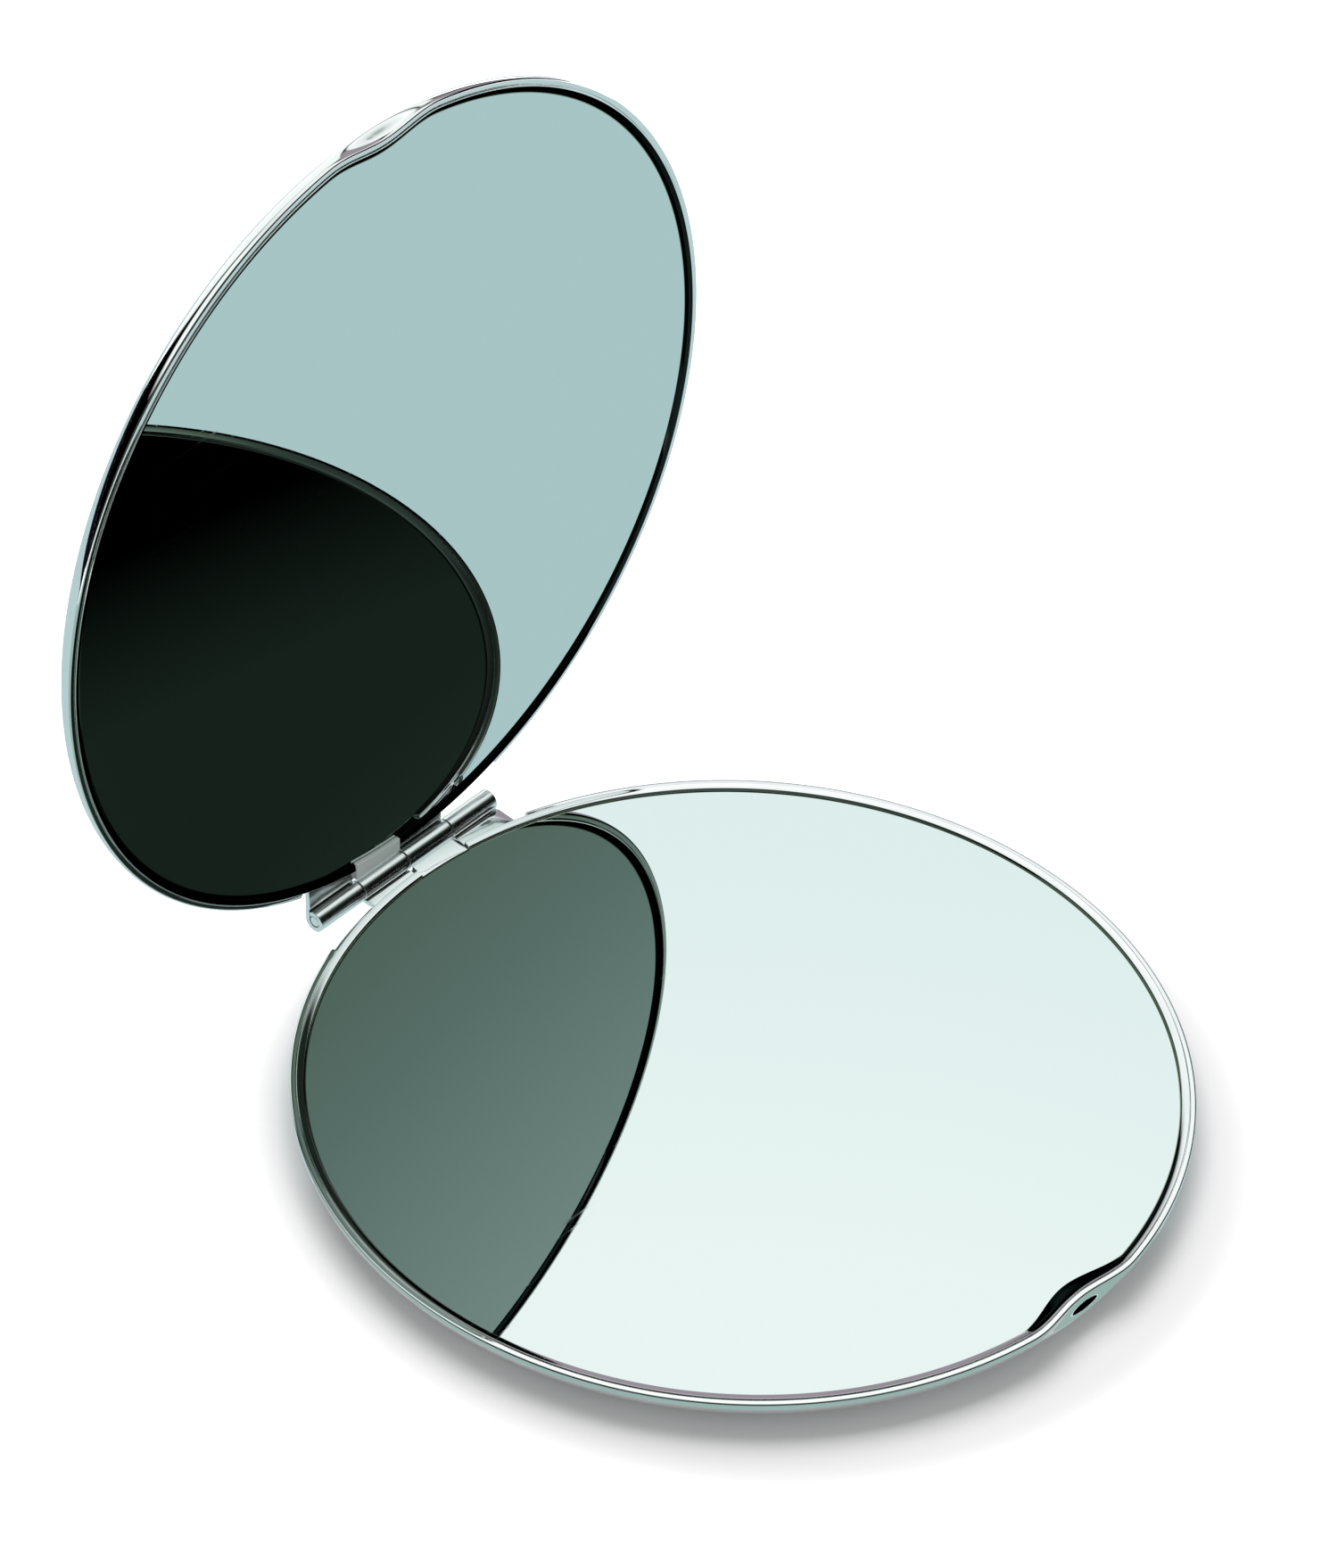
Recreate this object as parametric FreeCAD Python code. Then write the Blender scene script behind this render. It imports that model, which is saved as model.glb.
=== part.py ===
import FreeCAD, Part
import math
import os

# A round pocket mirror: two alike halves on a rolled hinge, each holding a flat mirror.
# Origin at the centre of the base's flat underside, +Z up, hinge along Y on the -X side.
# Lengths are in millimetres, angles in degrees.

# Outline and height of one half
outer_radius = 31.0
half_height = 2.9
parting_gap = 0.2
open_angle = 92.3
overrun = 1.0
near = 0.001

# Cover, a dished sheet with a rounded shoulder
cover_sheet = 0.4
shoulder_width = 5.0
widest_drop = 0.25
cover_edge_drop = 0.1

# Thumb scallop pressed into the rim opposite the hinge
scallop_width = 9.0
scallop_depth = 0.8
scallop_blend = 3.0

# Frame ring, the bead between the cover's edge and the glass
seam_gap = 0.08
ring_width = 0.55
ring_height = 0.6
ring_round = 0.22

# Mirror glass, the adhesive pad behind it and the backing disc under the pad
glass_clearance = 0.1
glass_thickness = 1.1
glass_recess = 0.3
glass_chamfer = 0.12
pad_thickness = 0.3
pad_margin = 0.5
backing_clearance = 0.3

# Hinge: rolled knuckles in turn on the base and the lid, around one pin that is tight in the base
hinge_offset = 0.95
knuckle_count = 4
knuckle_pitch = 4.5
knuckle_gap = 0.1
leaf_sheet = 0.35
leaf_gap = 0.03
pin_radius = 0.4
pin_clearance = 0.05
pin_recess = 0.05
pin_chamfer = 0.06
roll_slit = 0.08
land_clearance = 0.1
countersink_depth = 0.15
cut_margin = 0.9
cut_clearance = 0.1

# Heights and radii that follow from the sizes above
up = FreeCAD.Vector(0, 0, 1)
along_hinge = FreeCAD.Vector(0, 1, 0)
opening_turn = FreeCAD.Vector(0, -1, 0)
flip_turn = FreeCAD.Vector(1, 0, 0)

rim_top = half_height
cover_top = rim_top - cover_edge_drop
widest_height = rim_top - widest_drop
cover_edge_round = widest_drop - cover_edge_drop
floor_radius = outer_radius - shoulder_width

wall_radius = outer_radius - cover_sheet
ring_inset = cover_sheet + seam_gap
glass_inset = ring_inset + ring_width + glass_clearance
ring_inner = outer_radius - ring_inset - ring_width
ring_bottom = rim_top - ring_height
glass_top = rim_top - glass_recess
glass_bottom = glass_top - glass_thickness
backing_top = glass_bottom - pad_thickness
backing_radius = floor_radius - backing_clearance

rim_sagitta = outer_radius - math.sqrt(outer_radius**2 - (scallop_width / 2)**2)
scallop_sagitta = scallop_depth - rim_sagitta
scallop_radius = ((scallop_width / 2)**2 + scallop_sagitta**2) / (2 * scallop_sagitta)
scallop_x = outer_radius - scallop_depth + scallop_radius

running_bore = pin_radius + pin_clearance
knuckle_radius = running_bore + leaf_sheet
hinge_x = -outer_radius - hinge_offset
hinge_z = half_height + parting_gap / 2
hinge_length = knuckle_count * knuckle_pitch
leaf_bottom = hinge_z - knuckle_radius
leaf_top = leaf_bottom + leaf_sheet
land_x = hinge_x + knuckle_radius + land_clearance
cut_bottom = leaf_bottom - cut_clearance

# Places of the base's knuckles and of the flat land between them, counted from the -Y end
base_knuckles = (1, 3)
land_place = 2


def point(x, z):
    return FreeCAD.Vector(x, 0, z)


def line(start, end):
    return Part.LineSegment(start, end).toShape()


def corner_arc(centre, radius, start_angle, end_angle):
    # Round corner in the XZ plane, angles in degrees from +X towards +Z
    angles = (start_angle, (start_angle + end_angle) / 2, end_angle)
    ends = [
        centre + point(radius * math.cos(math.radians(angle)), radius * math.sin(math.radians(angle)))
        for angle in angles
    ]
    return Part.Arc(ends[0], ends[1], ends[2]).toShape()


def turned(edges, axis_x=0):
    # Solid made by turning a closed outline, drawn from the axis outwards, about an upright axis
    solid = Part.Face(Part.Wire(edges)).revolve(FreeCAD.Vector(0, 0, 0), up, 360)
    solid.translate(FreeCAD.Vector(axis_x, 0, 0))
    return solid


def upright_cylinder(radius, bottom, top, axis_x=0):
    return Part.makeCylinder(radius, top - bottom, FreeCAD.Vector(axis_x, 0, bottom), up)


def block(low, high):
    size = high - low
    return Part.makeBox(size.x, size.y, size.z, low)


def place_ends(index):
    # Y ends of one place along the hinge, with half the running gap taken off each end
    start = index * knuckle_pitch - hinge_length / 2
    return start + knuckle_gap / 2, start + knuckle_pitch - knuckle_gap / 2


def shoulder_curve(inset):
    # Quarter ellipse from the widest point down to the flat floor
    centre = point(floor_radius, widest_height)
    widest = point(outer_radius - inset, widest_height)
    floor = point(floor_radius, inset)
    return Part.ArcOfEllipse(Part.Ellipse(widest, floor, centre), 0, math.pi / 2).toShape()


def cover_outside():
    edge_centre = point(outer_radius - cover_edge_round, widest_height)
    return turned([
        line(point(0, 0), point(floor_radius, 0)),
        shoulder_curve(0),
        corner_arc(edge_centre, cover_edge_round, 0, 90),
        line(point(outer_radius - cover_edge_round, cover_top), point(0, cover_top)),
        line(point(0, cover_top), point(0, 0)),
    ])


def cover_inside():
    mouth = cover_top + overrun
    hollow = turned([
        line(point(0, cover_sheet), point(floor_radius, cover_sheet)),
        shoulder_curve(cover_sheet),
        line(point(wall_radius, widest_height), point(wall_radius, mouth)),
        line(point(wall_radius, mouth), point(0, mouth)),
        line(point(0, mouth), point(0, cover_sheet)),
    ])
    return hollow.cut(scallop_offset(cover_sheet))


def scallop_press():
    # Outside of the scallop: an upright cylinder that flares over the cover's rounded edge
    lip = scallop_radius + cover_edge_round
    head = cover_top + overrun
    return turned([
        line(point(0, -overrun), point(scallop_radius, -overrun)),
        line(point(scallop_radius, -overrun), point(scallop_radius, widest_height)),
        corner_arc(point(lip, widest_height), cover_edge_round, 180, 90),
        line(point(lip, cover_top), point(lip, head)),
        line(point(lip, head), point(0, head)),
        line(point(0, head), point(0, -overrun)),
    ], scallop_x)


def scallop_offset(inset):
    # The scallop's wall carried inwards by the given distance
    return upright_cylinder(scallop_radius + inset, -overrun, rim_top + overrun, scallop_x)


def hinge_cut():
    # Cover's edge taken off between two radial ends along the hinge, deeper where the leaf comes out
    half_width = hinge_length / 2 + cut_margin
    end_x = -math.sqrt(outer_radius**2 - half_width**2)
    middle = FreeCAD.Vector(0, 0, ring_bottom)
    ends = [FreeCAD.Vector(2 * end_x, 2 * side * half_width, ring_bottom) for side in (-1, 1)]
    sector = Part.Face(Part.makePolygon([middle, ends[0], ends[1], middle]))
    edge = sector.extrude(up * (cover_top + overrun - ring_bottom))
    outside = hinge_x - knuckle_radius
    leaf_start = place_ends(base_knuckles[0])[0] - cut_clearance
    leaf_end = place_ends(base_knuckles[-1])[1] + cut_clearance
    slot = block(
        FreeCAD.Vector(outside, leaf_start, cut_bottom),
        FreeCAD.Vector(-floor_radius, leaf_end, cover_top + overrun),
    )
    return edge.fuse(slot)


def cover():
    return cover_outside().cut(scallop_press()).cut(cover_inside()).cut(hinge_cut())


def on_circle(centre, towards, radius):
    # Point at the given distance from a circle's centre on the way to another point
    return centre + (towards - centre).normalize() * radius


def outline_disc(inset, bottom, top):
    # Upright disc whose edge runs at the given distance inside the rim, the scallop blended in by small arcs
    reach = outer_radius - scallop_blend
    distance = scallop_radius + scallop_blend
    corner_x = (reach**2 - distance**2 + scallop_x**2) / (2 * scallop_x)
    corner_y = math.sqrt(reach**2 - corner_x**2)
    middle = FreeCAD.Vector(0, 0, bottom)
    scallop_middle = FreeCAD.Vector(scallop_x, 0, bottom)
    rim_ends = []
    scallop_ends = []
    blends = []
    for side in (-1, 1):
        corner = FreeCAD.Vector(corner_x, side * corner_y, bottom)
        rim_end = on_circle(middle, corner, outer_radius - inset)
        scallop_end = on_circle(scallop_middle, corner, scallop_radius + inset)
        crown = on_circle(corner, (rim_end + scallop_end) / 2, scallop_blend - inset)
        rim_ends.append(rim_end)
        scallop_ends.append(scallop_end)
        blends.append(Part.Arc(rim_end, crown, scallop_end).toShape())
    back = FreeCAD.Vector(inset - outer_radius, 0, bottom)
    dent = FreeCAD.Vector(scallop_x - scallop_radius - inset, 0, bottom)
    rim = Part.Arc(rim_ends[1], back, rim_ends[0]).toShape()
    scallop = Part.Arc(scallop_ends[0], dent, scallop_ends[1]).toShape()
    wire = Part.Wire([rim, blends[0], scallop, blends[1]])
    return Part.Face(wire).extrude(up * (top - bottom))


def edges_at(shape, height):
    # Edges that lie flat at the given height
    return [edge for edge in shape.Edges if all(abs(v.Z - height) < near for v in edge.Vertexes)]


def ring_foot():
    # Lower part of the frame ring, wide enough to sit against the inside of the cover's wall
    opening = outline_disc(ring_inset + ring_width, -overrun, rim_top)
    return upright_cylinder(outer_radius, ring_bottom, widest_height).common(cover_inside()).cut(opening)


def frame_ring():
    bead = outline_disc(ring_inset, ring_bottom, rim_top)
    bead = bead.cut(outline_disc(ring_inset + ring_width, ring_bottom - overrun, rim_top + overrun))
    bead = bead.makeFillet(ring_round, edges_at(bead, rim_top))
    start, end = place_ends(land_place)
    land_seat = block(
        FreeCAD.Vector(-outer_radius, start - leaf_gap, rim_top - leaf_sheet),
        FreeCAD.Vector(-floor_radius, end + leaf_gap, rim_top + overrun),
    )
    return bead.fuse(ring_foot()).removeSplitter().cut(land_seat)


def hinge_leaf(bore_radius):
    ring_face = upright_cylinder(wall_radius + leaf_gap, -overrun, rim_top + overrun)
    first = place_ends(base_knuckles[0])[0]
    last = place_ends(base_knuckles[-1])[1]
    leaf = block(FreeCAD.Vector(land_x, first, leaf_bottom), FreeCAD.Vector(-floor_radius, last, leaf_top))
    start, end = place_ends(land_place)
    land = block(FreeCAD.Vector(land_x, start, leaf_bottom), FreeCAD.Vector(-floor_radius, end, rim_top))
    tongue = block(
        FreeCAD.Vector(land_x, start, rim_top - leaf_sheet),
        FreeCAD.Vector(-floor_radius, end, rim_top),
    )
    tongue = tongue.cut(upright_cylinder(ring_inner, -overrun, rim_top + overrun))
    leaf = leaf.fuse(land).cut(ring_face).fuse(tongue)
    for index in base_knuckles:
        leaf = leaf.fuse(knuckle(*place_ends(index), bore_radius).cut(ring_face))
    countersink = Part.makeCone(
        bore_radius, bore_radius + countersink_depth, countersink_depth,
        FreeCAD.Vector(hinge_x, last - countersink_depth, hinge_z), along_hinge,
    )
    return leaf.cut(countersink).removeSplitter()


def knuckle(start, end, bore_radius):
    # Sheet rolled round the pin from its tab, with the slit where the roll closes on the tab
    axis = FreeCAD.Vector(hinge_x, start, hinge_z)
    roll = Part.makeCylinder(knuckle_radius, end - start, axis, along_hinge)
    tab = block(FreeCAD.Vector(hinge_x, start, leaf_bottom), FreeCAD.Vector(-floor_radius, end, leaf_top))
    bore = Part.makeCylinder(bore_radius, end - start, axis, along_hinge)
    slit = block(
        FreeCAD.Vector(hinge_x, start, leaf_top),
        FreeCAD.Vector(hinge_x + knuckle_radius, end, leaf_top + roll_slit),
    )
    return roll.fuse(tab).cut(bore).cut(slit)


def mirror():
    disc = outline_disc(glass_inset, glass_bottom, glass_top)
    return disc.makeChamfer(glass_chamfer, edges_at(disc, glass_bottom) + edges_at(disc, glass_top))


def hinge_pin():
    half = hinge_length / 2 - knuckle_gap / 2 - pin_recess
    pin = Part.makeCylinder(pin_radius, 2 * half, FreeCAD.Vector(hinge_x, -half, hinge_z), along_hinge)
    ends = [edge for edge in pin.Edges if len(edge.Vertexes) == 1]
    return pin.makeChamfer(pin_chamfer, ends)


def half_pieces(bore_radius):
    return {
        "cover": cover(),
        "frame_ring": frame_ring(),
        "hinge_leaf": hinge_leaf(bore_radius),
        "mirror": mirror(),
        "mirror_adhesive": upright_cylinder(backing_radius - pad_margin, backing_top, glass_bottom),
        "backing_disc": upright_cylinder(backing_radius, cover_sheet, backing_top),
    }


def as_lid(shape):
    # The lid is the same half turned over onto the base, then swung open about the hinge
    lid = shape.copy()
    lid.rotate(point(0, hinge_z), flip_turn, 180)
    lid.rotate(point(hinge_x, hinge_z), opening_turn, open_angle)
    return lid


os.makedirs("parts", exist_ok=True)
hinge_pin().exportStep("parts/hinge_pin.step")
for name, shape in half_pieces(pin_radius).items():
    shape.exportStep(f"parts/base_{name}.step")
for name, shape in half_pieces(running_bore).items():
    as_lid(shape).exportStep(f"parts/lid_{name}.step")
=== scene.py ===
import math

import bmesh
import bpy
import numpy as np
from mathutils import Matrix


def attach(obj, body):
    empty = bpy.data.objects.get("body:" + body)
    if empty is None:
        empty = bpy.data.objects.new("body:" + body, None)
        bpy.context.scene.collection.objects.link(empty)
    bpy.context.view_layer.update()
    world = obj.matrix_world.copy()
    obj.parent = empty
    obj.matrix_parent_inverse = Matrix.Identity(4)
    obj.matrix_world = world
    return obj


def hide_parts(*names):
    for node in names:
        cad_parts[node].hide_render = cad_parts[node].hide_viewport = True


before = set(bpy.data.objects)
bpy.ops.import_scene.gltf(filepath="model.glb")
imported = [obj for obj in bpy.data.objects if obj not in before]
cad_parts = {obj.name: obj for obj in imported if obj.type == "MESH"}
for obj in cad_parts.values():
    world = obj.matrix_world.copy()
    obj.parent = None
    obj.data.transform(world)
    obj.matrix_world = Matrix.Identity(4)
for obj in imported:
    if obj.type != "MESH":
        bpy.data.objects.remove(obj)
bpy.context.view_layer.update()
print("frame loaded:", len(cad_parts), "nodes")

mm = 0.001
black = (0.0, 0.0, 0.0)
white = (1.0, 1.0, 1.0)

# measures that both halves share, in millimetres and degrees
half = {
    "rimRadius": 30.99,
    "rimTop": 2.9,
    "hingeX": -31.95,
    "hingeZ": 3.0,
    "openAngle": 92.3,
}
# thumb scallop opposite the hinge, a smooth wave in the rim
scallop = {
    "halfAngle": 10.0,
    "depth": 0.8,
    "stepZ": (1.5, 2.5),
    "flank": {"base": 0.65, "lid": 0.0},
    "flankAngle": 9.7,
}
# radians to either side of an upright step in the rim
stepSpread = 0.0004


def asBase(points):
    return points


def asLid(points):
    # half turn about X at hinge height, then the opening turn about the hinge pin
    opening = math.radians(half["openAngle"])
    x = points[..., 0] - half["hingeX"]
    z = half["hingeZ"] - points[..., 2]
    return np.stack((
        half["hingeX"] + x * math.cos(opening) - z * math.sin(opening),
        -points[..., 1],
        half["hingeZ"] + x * math.sin(opening) + z * math.cos(opening),
    ), axis=-1)


def scallopInset(beta):
    # raised cosine: full depth opposite the hinge, nothing past the half angle
    away = np.pi - np.abs(beta)
    share = np.clip(away / math.radians(scallop["halfAngle"]), 0, 1)
    return scallop["depth"] * 0.5 * (1 + np.cos(np.pi * share))


def scallopLean(beta):
    # how far the ring widens over the glass: a parabola, 1 in the scallop's middle, 0 at the flank angle
    away = (np.pi - np.abs(beta)) / math.radians(scallop["flankAngle"])
    return np.clip(1 - away**2, 0, 1)


def pressedIn(z, inset):
    # the scallop's push at a height: none at the foot of the step, all of it above, a smooth S between
    low, high = scallop["stepZ"]
    share = np.clip((z - low) / (high - low), 0, 1)
    return inset * share**2 * (3 - 2 * share)


def rimColumns(count, steps):
    # angles round the rim from the hinge, doubled at each step so that the step has an upright end
    even = np.linspace(-np.pi, np.pi, count, endpoint=False)
    ends = np.radians(np.array(steps, float))
    return np.sort(np.concatenate((even, ends - stepSpread, ends + stepSpread)))


def roundTheRim(radius, beta, z):
    # polar point with beta counted from the hinge side
    return np.stack(np.broadcast_arrays(-radius * np.cos(beta), radius * np.sin(beta), z), axis=-1)


# a shell is its points and a list of face blocks, each block an array with one face per row

def gridShell(points, closeRows=False, closeCols=False):
    rows, cols = points.shape[:2]
    index = np.arange(rows * cols).reshape(rows, cols)
    if closeRows:
        index = np.vstack((index, index[:1]))
    if closeCols:
        index = np.hstack((index, index[:, :1]))
    quads = np.stack((index[:-1, :-1], index[:-1, 1:], index[1:, 1:], index[1:, :-1]), axis=-1)
    return points.reshape(-1, 3), [quads.reshape(-1, 4)]


def closedDish(points, firstPole, lastPole):
    # grid closed round its columns, with a single point at each end of its rows
    verts, blocks = gridShell(points, closeCols=True)
    rows, cols = points.shape[:2]
    around = np.arange(cols)
    after = np.roll(around, -1)
    last = (rows - 1) * cols
    poles = len(verts)
    blocks.append(np.stack((after, around, np.full(cols, poles)), axis=-1))
    blocks.append(np.stack((last + around, last + after, np.full(cols, poles + 1)), axis=-1))
    return np.vstack((verts, [firstPole, lastPole])), blocks


def makePiece(name, shells, place, finishes, sharp):
    # one finish per shell, edges sharper than the angle kept crisp
    kinds = list(dict.fromkeys(finishes))
    verts, faces, finishOf, start = [], [], [], 0
    for (shellVerts, blocks), finish in zip(shells, finishes):
        verts.append(place(shellVerts) * mm)
        for block in blocks:
            faces += (block + start).tolist()
            finishOf.append(np.full(len(block), kinds.index(finish), np.int32))
        start += len(shellVerts)
    mesh = bpy.data.meshes.new(name)
    mesh.from_pydata(np.vstack(verts).tolist(), [], faces)
    work = bmesh.new()
    work.from_mesh(mesh)
    bmesh.ops.recalc_face_normals(work, faces=work.faces)
    work.to_mesh(mesh)
    work.free()
    mesh.polygons.foreach_set("use_smooth", np.ones(len(mesh.polygons), bool))
    mesh.polygons.foreach_set("material_index", np.concatenate(finishOf))
    mesh.set_sharp_from_angle(angle=math.radians(sharp))
    for finish in kinds:
        mesh.materials.append(finish)
    piece = bpy.data.objects.new(name, mesh)
    bpy.context.scene.collection.objects.link(piece)
    return piece


def mark(piece, name, shares):
    # one value per vertex for the finish to read
    piece.data.attributes.new(name, "FLOAT", "POINT").data.foreach_set("value", shares.astype(np.float32))


def dress(piece, node, body):
    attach(piece, body)
    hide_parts(node)


# materials

def newFinish(name):
    material = bpy.data.materials.new(name)
    material.use_nodes = True
    nodes = material.node_tree.nodes
    return material, nodes, material.node_tree.links, nodes["Principled BSDF"]


def noiseOn(nodes, links, scale, detail, stretch=(1, 1, 1), turned=0.0):
    coords = nodes.new("ShaderNodeTexCoord")
    mapping = nodes.new("ShaderNodeMapping")
    mapping.inputs["Rotation"].default_value = (0, 0, math.radians(turned))
    mapping.inputs["Scale"].default_value = stretch
    noise = nodes.new("ShaderNodeTexNoise")
    noise.inputs["Scale"].default_value = scale
    noise.inputs["Detail"].default_value = detail
    links.new(coords.outputs["Object"], mapping.inputs["Vector"])
    links.new(mapping.outputs["Vector"], noise.inputs["Vector"])
    return noise.outputs["Fac"]


def attributeOf(nodes, name):
    reader = nodes.new("ShaderNodeAttribute")
    reader.attribute_name = name
    return reader.outputs["Fac"]


def rampOf(nodes, links, value, stops):
    ramp = nodes.new("ShaderNodeValToRGB")
    elements = ramp.color_ramp.elements
    for element, (place, colour) in zip(elements, (stops[0], stops[-1])):
        element.position = place
        element.color = (*colour, 1)
    for place, colour in stops[1:-1]:
        elements.new(place).color = (*colour, 1)
    links.new(value, ramp.inputs["Fac"])
    return ramp.outputs["Color"]


def spanOf(nodes, links, value, low, high, source=(0, 1), kind="LINEAR"):
    span = nodes.new("ShaderNodeMapRange")
    span.interpolation_type = kind
    span.inputs["From Min"].default_value, span.inputs["From Max"].default_value = source
    span.inputs["To Min"].default_value = low
    span.inputs["To Max"].default_value = high
    links.new(value, span.inputs["Value"])
    return span.outputs["Result"]


def mixOf(nodes, links, kind, first, second):
    mix = nodes.new("ShaderNodeMix")
    mix.data_type, mix.blend_type = "RGBA", kind
    mix.inputs["Factor"].default_value = 1.0
    links.new(first, mix.inputs[6])
    links.new(second, mix.inputs[7])
    return mix.outputs[2]


def mathOf(nodes, links, kind, first, second):
    both = nodes.new("ShaderNodeMath")
    both.operation = kind
    links.new(first, both.inputs[0])
    links.new(second, both.inputs[1])
    return both.outputs["Value"]


def bumpOn(nodes, links, shader, height, strength, depth):
    bump = nodes.new("ShaderNodeBump")
    bump.inputs["Strength"].default_value = strength
    bump.inputs["Distance"].default_value = depth
    links.new(height, bump.inputs["Height"])
    links.new(bump.outputs["Normal"], shader.inputs["Normal"])


hairline = {
    "drawnOut": 0.03,
    "detail": 2.0,
    "crest": (0.66, 0.72),
}


def scratchesOn(nodes, links, values):
    # sparse hairlines: noise drawn out along one direction, with only its crests kept
    drawn = (1, hairline["drawnOut"], 1)
    lines = noiseOn(nodes, links, values["scratchScale"], hairline["detail"], drawn, values["scratchTurn"])
    return spanOf(nodes, links, lines, 0.0, values["scratchDepth"], hairline["crest"])


chrome = {
    "bright": ((0.89, 0.915, 0.905), (0.96, 0.972, 0.967)),
    "pale": ((0.84, 0.93, 0.90), (0.90, 0.97, 0.945)),
    # colour and attribute stops of the painted dark reflection on the bezel
    "paintedReflectionTint": (0.02, 0.023, 0.023),
    "paintedReflectionStops": (0.12, 0.17),
    "roughness": (0.015, 0.06),
    "hingeRoughness": (0.17, 0.25),
    "landRoughness": (0.06, 0.12),
    "satinRoughness": (0.30, 0.40),
    "satinMetallic": 0.0,
    "smudgeScale": 140.0,
    "smudgeDetail": 4.0,
    "smudgeStops": (0.35, 0.62),
    "grainScale": 5200.0,
    "grainDetail": 2.0,
    "grainStrength": 0.2,
    "grainDepth": 0.0000006,
    "caseStretch": (1, 1, 1),
    "ringStretch": (1, 1, 0.2),
    "hingeStretch": (0.15, 1, 1),
    "scratchScale": 4200.0,
    "scratchTurn": 35.0,
    "scratchDepth": 0.08,
}


def chromeFinish(name, stretch, roughness=chrome["roughness"], metallic=1.0, colours=chrome["bright"]):
    # plating with faint smudges in colour and roughness, hairline scratches and a fine grain
    material, nodes, links, shader = newFinish(name)
    shader.inputs["Metallic"].default_value = metallic
    smudge = noiseOn(nodes, links, chrome["smudgeScale"], chrome["smudgeDetail"])
    grain = noiseOn(nodes, links, chrome["grainScale"], chrome["grainDetail"], stretch)
    stops = list(zip(chrome["smudgeStops"], colours))
    links.new(rampOf(nodes, links, smudge, stops), shader.inputs["Base Color"])
    smudged = spanOf(nodes, links, smudge, *roughness)
    worn = mathOf(nodes, links, "ADD", smudged, scratchesOn(nodes, links, chrome))
    links.new(worn, shader.inputs["Roughness"])
    bumpOn(nodes, links, shader, grain, chrome["grainStrength"], chrome["grainDepth"])
    return material


def bezelWithPaintedReflection(name):
    # plating with a painted dark reflection: its colour and edge tint turn near black where the piece's
    # share attribute says so
    material = chromeFinish(name, chrome["ringStretch"])
    nodes, links = material.node_tree.nodes, material.node_tree.links
    shader = nodes["Principled BSDF"]
    plain = shader.inputs["Base Color"]
    stops = list(zip(chrome["paintedReflectionStops"], (white, chrome["paintedReflectionTint"])))
    paintedReflectionColour = rampOf(nodes, links, attributeOf(nodes, "paintedReflectionShare"), stops)
    links.new(mixOf(nodes, links, "MULTIPLY", plain.links[0].from_socket, paintedReflectionColour), plain)
    links.new(paintedReflectionColour, shader.inputs["Specular Tint"])
    return material


silver = {
    "tint": (0.785, 0.875, 0.858),
    "edge": (0.27, 0.34, 0.25),
    "edgeStops": (0.0, 0.55, 1.0),
    "roughness": (0.0, 0.012),
    "hazeScale": 55.0,
    "hazeDetail": 2.0,
    "scratchScale": 2600.0,
    "scratchTurn": -28.0,
    "scratchDepth": 0.03,
}


def mirrorFinish(name):
    # silvered glass: clear tint over the face, the green of the glass along its edge
    material, nodes, links, shader = newFinish(name)
    shader.inputs["Metallic"].default_value = 1.0
    stops = list(zip(silver["edgeStops"], (silver["edge"], silver["edge"], silver["tint"])))
    links.new(rampOf(nodes, links, attributeOf(nodes, "edgeShare"), stops), shader.inputs["Base Color"])
    haze = noiseOn(nodes, links, silver["hazeScale"], silver["hazeDetail"])
    hazed = spanOf(nodes, links, haze, *silver["roughness"])
    worn = mathOf(nodes, links, "ADD", hazed, scratchesOn(nodes, links, silver))
    links.new(worn, shader.inputs["Roughness"])
    return material


# hidden soft layers: dark and light colour of the fibres, their scale, roughness
soft = {
    "board": ((0.36, 0.36, 0.35), (0.52, 0.52, 0.50), 900.0, 0.9),
    "pad": ((0.82, 0.81, 0.77), (0.93, 0.92, 0.89), 2400.0, 0.8),
    "fibreDetail": 6.0,
    "fibreStops": (0.3, 0.7),
    "bumpStrength": 0.4,
    "bumpDepth": 0.00004,
}


def softFinish(name, kind):
    low, high, scale, roughness = soft[kind]
    material, nodes, links, shader = newFinish(name)
    shader.inputs["Roughness"].default_value = roughness
    fibre = noiseOn(nodes, links, scale, soft["fibreDetail"])
    stops = list(zip(soft["fibreStops"], (low, high)))
    links.new(rampOf(nodes, links, fibre, stops), shader.inputs["Base Color"])
    bumpOn(nodes, links, shader, fibre, soft["bumpStrength"], soft["bumpDepth"])
    return material


caseChrome = chromeFinish("caseChrome", chrome["caseStretch"])
# bezel plating with a painted dark reflection
ringChromePaintedReflection = bezelWithPaintedReflection("ringChromePaintedReflection")
hingeChrome = chromeFinish("hingeChrome", chrome["hingeStretch"], chrome["hingeRoughness"])
landChrome = chromeFinish("landChrome", chrome["hingeStretch"], chrome["landRoughness"])
landSatin = chromeFinish(
    "landSatin", chrome["hingeStretch"], chrome["satinRoughness"], chrome["satinMetallic"], chrome["pale"])
mirrorSilver = mirrorFinish("mirrorSilver")
greyBoard = softFinish("greyBoard", "board")
padFoam = softFinish("padFoam", "pad")
print("finishes ready")

# cover: dished sheet, its outside a quarter ellipse from the flat floor up to the widest line
cover = {
    "sheet": 0.4,
    "floorRadius": 25.88,
    "widestZ": 2.65,
    "lipHeight": 0.15,
    "lipRound": 0.375,
    "lipRows": 10,
    "lipAcross": (0.7, 0.97, 1.0),
    "lipRise": (1.0, 1.0, 0.9),
    "cutAngle": 18.62,
    "cutZ": 2.3,
    "cutLift": 0.02,
    "slotAngles": (-8.44, 16.97),
    "slotZ": 2.1,
    "columns": 900,
    "outsideRows": 56,
    "insideRows": 20,
    "floorRows": 9,
    "sharp": 32,
}


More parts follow.
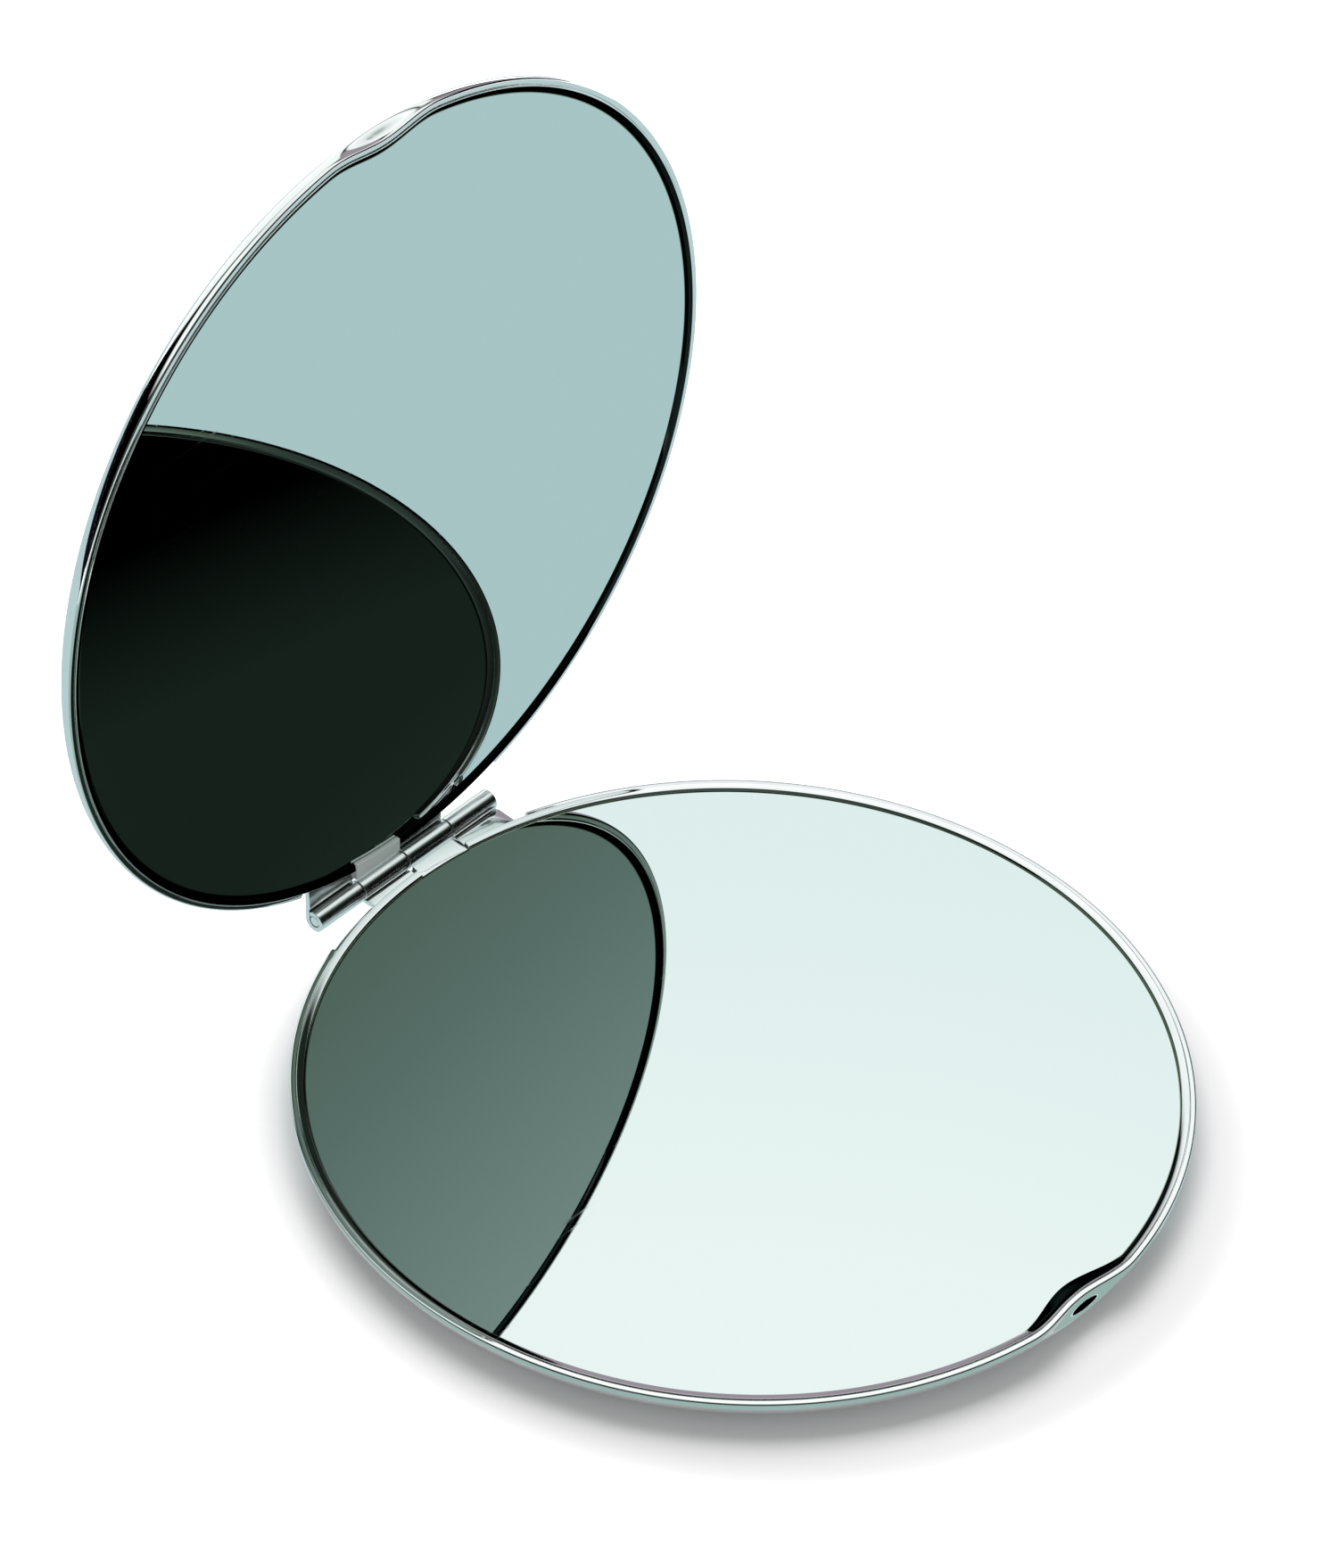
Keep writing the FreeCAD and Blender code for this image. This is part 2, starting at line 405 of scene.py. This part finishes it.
def coverShell():
    beta = rimColumns(cover["columns"], (-cover["cutAngle"], *cover["slotAngles"], cover["cutAngle"]))
    degrees = np.degrees(beta)
    topZ = np.where(np.abs(degrees) < cover["cutAngle"], cover["cutZ"], cover["widestZ"])
    inSlot = (degrees > cover["slotAngles"][0]) & (degrees < cover["slotAngles"][1])
    topZ = np.where(inSlot, cover["slotZ"], topZ)
    lift = np.where(topZ < cover["widestZ"], cover["cutLift"], cover["lipHeight"])
    inset = scallopInset(beta)

    def wall(inward, rows):
        # quarter ellipse set in from the outside by inward, from the floor up to the top line
        share = np.linspace(0, 1, rows)
        tall = cover["widestZ"] - inward
        wide = half["rimRadius"] - inward - cover["floorRadius"]
        top = np.arcsin(np.clip((cover["widestZ"] - topZ) / tall, 0, 1))
        phi = np.pi / 2 + (top - np.pi / 2) * share[:, None]
        radius = cover["floorRadius"] + wide * np.cos(phi)
        z = cover["widestZ"] - tall * np.sin(phi)
        return roundTheRim(radius - pressedIn(z, inset), beta, z)

    outside = wall(0.0, cover["outsideRows"])
    inside = wall(cover["sheet"], cover["insideRows"])[::-1]
    # lip: quarter round on the outside, flat on top, upright on the inside
    arc = np.linspace(0, np.pi / 2, cover["lipRows"])[1:]
    across = np.concatenate((cover["lipRound"] * (1 - np.cos(arc)), cover["lipAcross"]))
    rise = np.concatenate((np.sin(arc), cover["lipRise"]))
    lip = outside[-1] + (inside[0] - outside[-1]) * across[:, None, None]
    lip[..., 2] += rise[:, None] * lift
    flat = np.linspace(0, cover["floorRadius"], cover["floorRows"])[1:-1, None]
    under = roundTheRim(flat, beta, 0.0)
    over = roundTheRim(flat[::-1], beta, cover["sheet"])
    return closedDish(np.vstack((under, outside, lip, inside, over)), (0, 0, 0), (0, 0, cover["sheet"]))


# points along each rounded corner of a section
bowPoints = 5


def roundedProfile(corners, radius):
    # each corner replaced by a short quarter bow between points set back along its two sides;
    # corners may be stacked for many stations
    before = np.roll(corners, 1, axis=-2) - corners
    after = np.roll(corners, -1, axis=-2) - corners
    setBack = np.broadcast_to(radius, corners.shape[-2])[:, None]
    start = corners + before / np.linalg.norm(before, axis=-1)[..., None] * setBack
    end = corners + after / np.linalg.norm(after, axis=-1)[..., None] * setBack
    t = np.linspace(0, 1, bowPoints)[:, None]
    start, middle, end = start[..., None, :], corners[..., None, :], end[..., None, :]
    bow = (1 - t)**2 * start + 2 * t * (1 - t) * middle + t**2 * end
    return bow.reshape(*corners.shape[:-2], -1, 2)


# frame ring: a bezel with a gentle outer and a steep inner slope down to the glass, and a foot under the lip
ring = {
    "inner": 29.97,
    "width": 0.55,
    "kneeWidth": {"base": 0.05, "lid": 0.13},
    "kneeZ": {"base": 2.80, "lid": 2.775},
    "innerZ": 2.61,
    "footWidth": 0.61,
    "footZ": 2.65,
    "bottomWidth": 0.555,
    "bottomZ": 2.3,
    "wideDrop": 0.01,
    "rounds": (0.003, 0.003, 0.03, 0.04, 0.02, 0.02, 0.03),
    "slopeRows": 15,
    # painted dark reflection: its share on each half, how fast it rises with the widening at the scallop,
    # and the trail past the scallop with its reach in degrees
    "dark": {"base": 0, "lid": 1},
    "paintedReflectionRise": 4,
    "paintedTrail": 0.5,
    "paintedTrailAngle": 50.0,
    "seatAngles": (0.04, 8.53),
    "seatZ": 2.55,
    "columns": 1000,
    "sharp": 50,
}


def ringShell(body):
    # closed section (distance out, height) carried round;
    # at the scallop it passes into a wider section with one slope
    beta = rimColumns(ring["columns"], ring["seatAngles"])
    outside = [
        (ring["width"], half["rimTop"]),
        (ring["width"], ring["footZ"]),
        (ring["footWidth"], ring["footZ"]),
        (ring["bottomWidth"], ring["bottomZ"]),
    ]
    knee = ring["kneeWidth"][body]
    inmost = -scallop["flank"][body]
    slope = (half["rimTop"] - ring["innerZ"]) / (ring["width"] - inmost)
    leanKneeZ = ring["innerZ"] + slope * (knee - inmost)
    plainInside = [(0, ring["bottomZ"]), (0, ring["innerZ"]), (knee, ring["kneeZ"][body])]
    wideInside = [(inmost, ring["innerZ"] - ring["wideDrop"]), (inmost, ring["innerZ"]), (knee, leanKneeZ)]
    plain = roundedProfile(np.array(plainInside + outside, float), ring["rounds"])
    wide = roundedProfile(np.array(wideInside + outside, float), ring["rounds"])
    lean = scallopLean(beta) if inmost else 0 * beta
    across = plain[:, :1] + (wide - plain)[:, :1] * lean
    height = plain[:, 1:] + (wide - plain)[:, 1:] * lean
    degrees = np.degrees(beta)
    inSeat = (degrees > ring["seatAngles"][0]) & (degrees < ring["seatAngles"][1])
    seatShare = (ring["seatZ"] - ring["bottomZ"]) / (half["rimTop"] - ring["bottomZ"])
    squeeze = np.where(inSeat, seatShare, 1.0)
    radius = ring["inner"] + across - scallopInset(beta)
    z = ring["bottomZ"] + (height - ring["bottomZ"]) * squeeze
    # painted dark reflection from the glass up to the crest: all round on the lid; on the base at the
    # scallop, with a trail along its +Y side that narrows evenly to nothing
    slopeRows = np.arange(len(plain)) < ring["slopeRows"]
    past = np.where(beta > 0, 180 - degrees, ring["paintedTrailAngle"])
    paintedTrail = ring["paintedTrail"] * np.clip(1 - past / ring["paintedTrailAngle"], 0, 1)
    paintedAtScallop = np.minimum(ring["paintedReflectionRise"] * lean, 1)
    dark = slopeRows[:, None] * np.maximum(ring["dark"][body], np.maximum(paintedAtScallop, paintedTrail))
    return gridShell(roundTheRim(radius, beta, z), closeRows=True, closeCols=True), dark.ravel()


# mirror: flat disc that follows the rim's outline, chamfered on both edges
mirror = {
    "radius": 29.94,
    "topZ": 2.6,
    "thickness": 1.1,
    "chamfer": 0.04,
    "leanShare": 0.9,
    "edgeSteps": (0.0, 0.07, 0.3, 0.6),
    "faceRings": (0.95, 0.08, 12),
    "underRings": (0.6, 0.2),
    "clearRise": 3,
    "columns": 720,
    "sharp": 25,
}


def mirrorShell(body):
    # rings from the middle of the face out to the chamfer, down the side and back under
    beta = np.linspace(-np.pi, np.pi, mirror["columns"], endpoint=False)
    lean = scallopLean(beta) * scallop["flank"][body]
    outline = mirror["radius"] - scallopInset(beta) - mirror["leanShare"] * lean
    bottomZ = mirror["topZ"] - mirror["thickness"]
    flatEdge = outline - mirror["chamfer"]
    edgeSteps = np.array(mirror["edgeSteps"])[:, None]
    faceRings = np.linspace(*mirror["faceRings"])[:, None]
    faceRadii = np.vstack((flatEdge - edgeSteps, (flatEdge - mirror["edgeSteps"][-1]) * faceRings))
    face = roundTheRim(faceRadii, beta, mirror["topZ"])[::-1]
    wall = np.stack((
        roundTheRim(outline, beta, mirror["topZ"] - mirror["chamfer"]),
        roundTheRim(outline, beta, bottomZ + mirror["chamfer"]),
        roundTheRim(flatEdge, beta, bottomZ),
    ))
    under = roundTheRim(flatEdge * np.array(mirror["underRings"])[:, None], beta, bottomZ)
    # clear over the face, green from its last ring on, clear again where the bezel widens
    clearRows = np.concatenate((np.ones(len(face) - 1), np.zeros(1 + len(wall) + len(under))))
    clear = np.maximum(clearRows[:, None], np.minimum(mirror["clearRise"] * lean, 1)).ravel()
    shell = closedDish(np.vstack((face, wall, under)), (0, 0, mirror["topZ"]), (0, 0, bottomZ))
    return shell, np.concatenate((clear, [1, 0]))


# hinge leaf: sheet rolled round the pin at two places, with a flat land between them
leaf = {
    "sheet": 0.35,
    "knuckleRadius": 0.8,
    "boreRadius": 0.45,
    "pitch": 4.5,
    "gap": 0.05,
    "edgeRound": 0.05,
    "edgeEase": (1.0, 0.55, 0.2, 0.0),
    "countersink": 0.12,
    "sinkShares": (0.0, 0.35, 0.7, 1.0),
    "slit": 0.08,
    "rootRadius": 30.63,
    "landX": -31.05,
    "tongueRadius": 29.97,
    "landZ": {"base": (2.9, 2.64), "lid": (2.9, 2.9)},
    "landRounds": (0.06, 0.06, 0.03, 0.03, 0.03, 0.06),
    "landEnd": 0.06,
    "plateRise": 0.1,
    "plateInset": 0.02,
    "plateFoot": 0.01,
    "plateRound": 0.04,
    "plateEnd": 0.02,
    "knucklePlaces": (1, 3),
    "landPlace": 2,
    "middlePlace": 2,
    "alongRows": 10,
    "tabRows": 8,
    "rollRows": 56,
    "barRows": 12,
    "barEnds": (0.0, 0.3, 1.0),
    "barDraw": (0.9, 0.3, 0.0),
    "sharp": 40,
}
leafLow = half["hingeZ"] - leaf["knuckleRadius"]


def placeEnds(index):
    start = (index - leaf["middlePlace"]) * leaf["pitch"]
    return start + leaf["gap"], start + leaf["pitch"] - leaf["gap"]


def rootX(y, radius):
    # where a line along X at this y meets the circle on the hinge side
    return -np.sqrt(radius**2 - y**2)


def knuckleShell(index, countersunk):
    # strip between two curves: a straight tab under the rim, then a roll round the pin
    # that ends above the tab
    y0, y1 = placeEnds(index)
    edge = leaf["edgeRound"]
    ease = np.array(leaf["edgeEase"])
    setIn = edge * (1 - ease**0.5)
    between = np.linspace(y0 + edge, y1 - edge, leaf["alongRows"])[1:-1]
    y = np.concatenate((y0 + setIn, between, (y1 - setIn)[::-1]))
    trim = np.concatenate((edge * ease**2, np.zeros(len(between)), (edge * ease**2)[::-1]))
    sink = np.zeros(len(y))
    if countersunk:
        sink[-len(leaf["sinkShares"]):] = leaf["countersink"] * np.array(leaf["sinkShares"])
    endZ = leafLow + leaf["sheet"] + leaf["slit"]
    straight = np.linspace(0, 1, leaf["tabRows"])[:-1]
    roll = np.linspace(0, 1, leaf["rollRows"])

    def curve(radius, z):
        # radius at each station, height of the tab's face there
        endAngle = np.arcsin(np.clip((endZ - half["hingeZ"]) / radius, -1, 1))
        sweep = 2 * np.pi - (endAngle + np.pi / 2)
        angle = -np.pi / 2 - sweep[:, None] * roll
        root = rootX(y, leaf["rootRadius"])[:, None]
        tabX = root + (half["hingeX"] - root) * straight
        tabZ = np.broadcast_to(z[:, None], tabX.shape)
        rollX = half["hingeX"] + radius[:, None] * np.cos(angle)
        rollZ = half["hingeZ"] + radius[:, None] * np.sin(angle)
        return np.stack(np.broadcast_arrays(
            np.hstack((tabX, rollX)), y[:, None], np.hstack((tabZ, rollZ))), axis=-1)

    outer = curve(leaf["knuckleRadius"] - trim, leafLow + trim)
    inner = curve(leaf["boreRadius"] + trim + sink, leafLow + leaf["sheet"] - trim)
    verts, blocks = gridShell(np.concatenate((outer, inner[:, ::-1]), axis=1), closeCols=True)
    count = outer.shape[1]
    for row in (0, len(y) - 1):
        there = row * 2 * count + np.arange(count)
        back = row * 2 * count + 2 * count - 1 - np.arange(count)
        blocks.append(np.stack((there[:-1], there[1:], back[1:], back[:-1]), axis=-1))
    return verts, blocks


def stackedCorners(y, places):
    # corners (x, z) of a section at every station; a place may hold single values
    flat = [np.broadcast_to(value, y.shape) for place in places for value in place]
    return np.stack(flat, axis=-1).reshape(len(y), len(places), 2)


def barShell(y0, y1, profileAt, end):
    # closed profile carried along Y, drawn in slightly at both ends
    ends, draw = np.array(leaf["barEnds"]), np.array(leaf["barDraw"])
    between = np.linspace(y0 + end, y1 - end, leaf["barRows"])[1:-1]
    y = np.concatenate((y0 + end * ends, between, y1 - end * ends[::-1]))
    inward = np.concatenate((end * draw, np.zeros(len(between)), end * draw[::-1]))
    profile = profileAt(y, inward)
    points = np.stack(np.broadcast_arrays(profile[..., 0], y[:, None], profile[..., 1]), axis=-1)
    verts, blocks = gridShell(points, closeCols=True)
    firstEnd = np.arange(points.shape[1])[None]
    blocks += [firstEnd, firstEnd + len(verts) - points.shape[1]]
    return verts, blocks


def landProfile(y, inward, frontZ, tipZ):
    # L section: block in front of the ring, tongue over it that ends flush with the ring's inner side
    seat = half["rimTop"] - leaf["sheet"]
    front = leaf["landX"] + inward
    back = rootX(y, leaf["rootRadius"])
    tip = rootX(y, leaf["tongueRadius"]) - inward
    corners = stackedCorners(y, (
        (front, leafLow),
        (front, frontZ - inward),
        (tip, tipZ - inward),
        (tip, seat),
        (back, seat),
        (back, leafLow),
    ))
    return roundedProfile(corners, leaf["landRounds"])


def plateProfile(y, inward):
    # the leaf between its front edge and the ring's foot, its top rising to the front
    back = rootX(y, leaf["rootRadius"])
    front = leaf["landX"] + leaf["plateInset"]
    foot = leafLow + leaf["plateFoot"] + inward
    top = leafLow + leaf["sheet"]
    corners = stackedCorners(y, (
        (front, foot),
        (front, top + leaf["plateRise"] - inward),
        (back, top - inward),
        (back, foot),
    ))
    return roundedProfile(corners, leaf["plateRound"])


def leafShells(body):
    first, last = leaf["knucklePlaces"]
    plateStart = placeEnds(first)[0] + leaf["plateInset"]
    plateStop = placeEnds(last)[1] - leaf["plateInset"]

    def landAt(y, inward):
        return landProfile(y, inward, *leaf["landZ"][body])

    return [
        knuckleShell(first, False),
        knuckleShell(last, True),
        barShell(*placeEnds(leaf["landPlace"]), landAt, leaf["landEnd"]),
        barShell(plateStart, plateStop, plateProfile, leaf["plateEnd"]),
    ]


# pin: plain rod with eased ends
pin = {
    "radius": 0.4,
    "halfLength": 8.9,
    "ease": 0.06,
    "easeRows": 5,
    "shaft": (-8, 8, 9),
    "columns": 64,
    "sharp": 32,
}


def pinShell():
    # circle of changing radius carried along the hinge line
    bow = np.linspace(0, np.pi / 2, pin["easeRows"])
    endY = pin["halfLength"] - pin["ease"] * (1 - np.sin(bow))
    endRadius = pin["radius"] - pin["ease"] * (1 - np.cos(bow))
    shaft = np.linspace(*pin["shaft"])
    y = np.concatenate((-endY[::-1], shaft, endY))[:, None]
    radius = np.concatenate((endRadius[::-1], np.full(len(shaft), pin["radius"]), endRadius))[:, None]
    around = np.linspace(0, 2 * np.pi, pin["columns"], endpoint=False)
    points = np.stack(np.broadcast_arrays(
        half["hingeX"] + radius * np.cos(around), y, half["hingeZ"] + radius * np.sin(around)), axis=-1)
    poles = [(half["hingeX"], sign * pin["halfLength"], half["hingeZ"]) for sign in (-1, 1)]
    return closedDish(points, *poles)


# each half: body, where its points go, finish of the land, finish of the plate
halves = (
    ("base", asBase, landChrome, landChrome),
    ("lid", asLid, landSatin, hingeChrome),
)
for body, place, land, plate in halves:
    dish = makePiece(body + "CoverShell", [coverShell()], place, [caseChrome], cover["sharp"])
    dress(dish, body + "_cover", body)
    shell, shares = ringShell(body)
    bezel = makePiece(body + "FrameBead", [shell], place, [ringChromePaintedReflection], ring["sharp"])
    # shares of painted dark reflection for the bezel's finish
    mark(bezel, "paintedReflectionShare", shares)
    dress(bezel, body + "_frame_ring", body)
    shell, shares = mirrorShell(body)
    glass = makePiece(body + "MirrorGlass", [shell], place, [mirrorSilver], mirror["sharp"])
    mark(glass, "edgeShare", shares)
    dress(glass, body + "_mirror", body)
    leafFinishes = [hingeChrome, hingeChrome, land, plate]
    rolled = makePiece(body + "RolledLeaf", leafShells(body), place, leafFinishes, leaf["sharp"])
    dress(rolled, body + "_hinge_leaf", body)
    for node, finish in (("_mirror_adhesive", padFoam), ("_backing_disc", greyBoard)):
        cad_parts[body + node].material_slots[0].material = finish
    print(body, "pieces made")
dress(makePiece("hingeRod", [pinShell()], asBase, [hingeChrome], pin["sharp"]), "hinge_pin", "base")
print("pin made")

# stage: white floor with a painted glow, faint near the base and strong beyond it, so that shadows further
# out, the lid's among them, turn white
floor = {
    "size": 3.0,
    "colour": (0.853, 0.84, 0.845),
    "lift": (0.04, 0.60),
    "liftRadii": (0.0306, 0.0372),
    "liftShift": (-0.0033, 0.0005, 0.0),
}


def stageMesh(name, points, material, onlyGloss):
    verts, blocks = gridShell(points)
    mesh = bpy.data.meshes.new(name)
    mesh.from_pydata(verts.tolist(), [], blocks[0].tolist())
    mesh.materials.append(material)
    obj = bpy.data.objects.new(name, mesh)
    bpy.context.scene.collection.objects.link(obj)
    if onlyGloss:
        obj.visible_camera = obj.visible_diffuse = obj.visible_shadow = False


def seenRays(nodes, links):
    # 1 for camera, glossy and transmission rays, 0 for the rest
    path = nodes.new("ShaderNodeLightPath")
    most = path.outputs["Is Camera Ray"]
    for name in ("Is Glossy Ray", "Is Transmission Ray"):
        most = mathOf(nodes, links, "MAXIMUM", most, path.outputs[name])
    return most


def floorFinish():
    # painted glow: emission by a smooth step of the distance from the shifted middle, seen but giving no
    # light
    material, nodes, links, shader = newFinish("paleFloor")
    shader.inputs["Base Color"].default_value = (*floor["colour"], 1)
    shader.inputs["Roughness"].default_value = 1.0
    shader.inputs["Specular IOR Level"].default_value = 0.0
    shader.inputs["Emission Color"].default_value = (*white, 1)
    coords = nodes.new("ShaderNodeTexCoord")
    shift = nodes.new("ShaderNodeVectorMath")
    shift.inputs[1].default_value = floor["liftShift"]
    distance = nodes.new("ShaderNodeVectorMath")
    distance.operation = "LENGTH"
    links.new(coords.outputs["Object"], shift.inputs[0])
    links.new(shift.outputs["Vector"], distance.inputs[0])
    away = distance.outputs["Value"]
    lift = spanOf(nodes, links, away, *floor["lift"], floor["liftRadii"], "SMOOTHSTEP")
    shown = mathOf(nodes, links, "MULTIPLY", seenRays(nodes, links), lift)
    links.new(shown, shader.inputs["Emission Strength"])
    return material


def cardFinish(name, colour):
    material = bpy.data.materials.new(name)
    material.use_nodes = True
    nodes, links = material.node_tree.nodes, material.node_tree.links
    nodes.clear()
    glow = nodes.new("ShaderNodeEmission")
    glow.inputs["Color"].default_value = (*colour, 1)
    out = nodes.new("ShaderNodeOutputMaterial")
    links.new(glow.outputs["Emission"], out.inputs["Surface"])
    return material, nodes, links, glow


floorEnds = np.array([-1.0, 1.0]) * floor["size"]
floorPoints = np.stack(np.broadcast_arrays(floorEnds[None, :], floorEnds[:, None], 0.0), axis=-1)
stageMesh("floor", floorPoints, floorFinish(), False)

# cards on the floor that only metal and glass see: two pale ones round the base and a dark one far out
# on one side, each with its colour, radii and angles, and a small pale one by the hinge
paleCard = (0.493, 0.632, 0.646)
cards = {
    "floorCard": (paleCard, (0.0292, 0.26), (20.0, 238.0)),
    "frontCard": ((0.33, 0.465, 0.435), (0.0315, 0.26), (-122.0, 20.0)),
    "farCard": ((0.004, 0.004, 0.010), (0.26, 1.95), (178.0, 262.0)),
}
cardColumns = 60
cardHeight = 0.00003
hingeCard = {
    "colour": paleCard,
    "x": (-0.042, -0.030),
    "y": (-0.022, -0.0095),
    "height": 0.00005,
}

for name, (colour, radii, angles) in cards.items():
    spread = np.radians(np.linspace(*angles, cardColumns))
    reach = np.array(radii)[:, None]
    cardPoints = np.broadcast_arrays(reach * np.cos(spread), reach * np.sin(spread), cardHeight)
    stageMesh(name, np.stack(cardPoints, axis=-1), cardFinish(name, colour)[0], True)
cardX, cardY = np.array(hingeCard["x"])[None, :], np.array(hingeCard["y"])[:, None]
cardPoints = np.stack(np.broadcast_arrays(cardX, cardY, hingeCard["height"]), axis=-1)
stageMesh("hingeCard", cardPoints, cardFinish("hingeCard", hingeCard["colour"])[0], True)

# dome of soft boxes, also seen by metal and glass alone; places are azimuth and elevation in degrees
dome = {
    "radius": 2.0,
    "columns": 181,
    "rows": 61,
    "strength": 1.065,
    "softbox": (129.0, 55.0),
    "softboxFoot": (33.0, 40.0),
    "flag": (71.0, 40.0),
    "flagEdge": (0.9877, 0.9945),
    "glow": (0.0125, 0.0185, 0.0145),
    "glowSlope": 0.336,
    "glowEdge": (0.781, 0.797),
}
# brightness by the cosine of the angle from the middle of the soft box
softboxFade = [
    (0.560, black),
    (0.620, (0.030, 0.042, 0.034)),
    (0.672, (0.093, 0.123, 0.094)),
    (0.690, (0.125, 0.163, 0.152)),
    (0.740, (0.31, 0.365, 0.345)),
    (0.800, (0.66, 0.71, 0.70)),
    (0.880, (0.80, 0.83, 0.83)),
    (0.9736, (0.853, 0.896, 0.905)),
    (0.985, (0.952, 0.957, 0.958)),
]
# further boxes: place of the middle, then brightness in the same way; the last is the dim room in front
boxes = {
    "top": ((205.0, 47.0), [(0.918, black), (0.96, (0.90, 0.95, 0.935))]),
    "side": ((160.0, 15.0), [(0.914, black), (0.94, (0.88, 0.94, 0.92))]),
    "low": ((121.0, 20.0), [(0.946, black), (0.966, (0.31, 0.27, 0.31))]),
    "room": ((320.0, 25.0), [(0.35, black), (0.97, (0.05, 0.065, 0.06))]),
}


def skyward(azimuth, elevation):
    around, up = math.radians(azimuth), math.radians(elevation)
    return math.cos(up) * math.cos(around), math.cos(up) * math.sin(around), math.sin(up)


def domeFinish():
    # soft box cut off at its foot and by a dark flag, the brightest of it and the further boxes,
    # and a faint glow overhead added
    material, nodes, links, glow = cardFinish("studioDome", black)
    coords = nodes.new("ShaderNodeTexCoord")
    away = nodes.new("ShaderNodeVectorMath")
    away.operation = "NORMALIZE"
    links.new(coords.outputs["Object"], away.inputs[0])

    def nearness(direction):
        dot = nodes.new("ShaderNodeVectorMath")
        dot.operation = "DOT_PRODUCT"
        dot.inputs[1].default_value = direction
        links.new(away.outputs["Vector"], dot.inputs[0])
        return dot.outputs["Value"]

    bright = rampOf(nodes, links, nearness(skyward(*dome["softbox"])), softboxFade)
    foot = tuple(math.sin(math.radians(angle)) for angle in dome["softboxFoot"])
    above = spanOf(nodes, links, nearness((0, 0, 1)), 0.0, 1.0, foot)
    flag = spanOf(nodes, links, nearness(skyward(*dome["flag"])), 1.0, 0.0, dome["flagEdge"])
    bright = mixOf(nodes, links, "MULTIPLY", bright, above)
    bright = mixOf(nodes, links, "MULTIPLY", bright, flag)
    for middle, fade in boxes.values():
        further = rampOf(nodes, links, nearness(skyward(*middle)), fade)
        bright = mixOf(nodes, links, "LIGHTEN", bright, further)
    overhead = spanOf(nodes, links, nearness((0, dome["glowSlope"], 1)), 0.0, 1.0, dome["glowEdge"])
    faint = rampOf(nodes, links, overhead, [(0.0, black), (1.0, dome["glow"])])
    links.new(mixOf(nodes, links, "ADD", bright, faint), glow.inputs["Color"])
    glow.inputs["Strength"].default_value = dome["strength"]
    return material


domeTurn = np.linspace(-np.pi, np.pi, dome["columns"])[None, :]
domeRise = np.linspace(0, np.pi / 2, dome["rows"])[:, None]
domePoints = dome["radius"] * np.stack(np.broadcast_arrays(
    np.cos(domeRise) * np.cos(domeTurn), np.cos(domeRise) * np.sin(domeTurn), np.sin(domeRise)), axis=-1)
stageMesh("studioDome", domePoints, domeFinish(), True)

# world: white where it is seen, plain fill for the rest
worldFill = 0.5
world = bpy.data.worlds.new("studio")
bpy.context.scene.world = world
world.use_nodes = True
worldNodes, worldLinks = world.node_tree.nodes, world.node_tree.links
background = worldNodes["Background"]
background.inputs["Color"].default_value = (*white, 1)
worldStrength = spanOf(worldNodes, worldLinks, seenRays(worldNodes, worldLinks), worldFill, 1.0)
worldLinks.new(worldStrength, background.inputs["Strength"])

# soft key lamp, high at the back left
keyLamp = {"direction": (-0.380, 0.219, 0.899), "distance": 0.9, "size": 0.7, "power": 6.0}


def placed(x, y, z, origin):
    # matrix from three axes and an origin
    return Matrix(np.vstack((np.column_stack((x, y, z, origin)), (0, 0, 0, 1))).tolist())


aim = np.array(keyLamp["direction"])
lampBack = aim / np.linalg.norm(aim)
lampSide = np.cross((0, 0, 1), lampBack)
lampSide /= np.linalg.norm(lampSide)
lampData = bpy.data.lights.new("keyLamp", "AREA")
lampData.size = keyLamp["size"]
lampData.energy = keyLamp["power"]
lamp = bpy.data.objects.new("keyLamp", lampData)
lamp.matrix_world = placed(lampSide, np.cross(lampBack, lampSide), lampBack, lampBack * keyLamp["distance"])
lamp.visible_glossy = False
bpy.context.scene.collection.objects.link(lamp)
print("stage and light set")

# camera where the photograph was taken
shot = {
    "place": (0.28495, -0.34686, 0.42794),
    "right": (0.744, 0.6673, 0.0338),
    "down": (0.4623, -0.4776, -0.7471),
    "ahead": (-0.4824, 0.5715, -0.6638),
    "lens": 207.7,
    "sensor": 36.0,
    "clip": (0.01, 20.0),
}
cameraData = bpy.data.cameras.new("camera")
cameraData.lens = shot["lens"]
cameraData.sensor_width = shot["sensor"]
cameraData.clip_start, cameraData.clip_end = shot["clip"]
camera = bpy.data.objects.new("camera", cameraData)
camera.matrix_world = placed(shot["right"], -np.array(shot["down"]), -np.array(shot["ahead"]), shot["place"])
bpy.context.scene.collection.objects.link(camera)
bpy.context.scene.camera = camera
bpy.context.scene.view_settings.view_transform = "Standard"
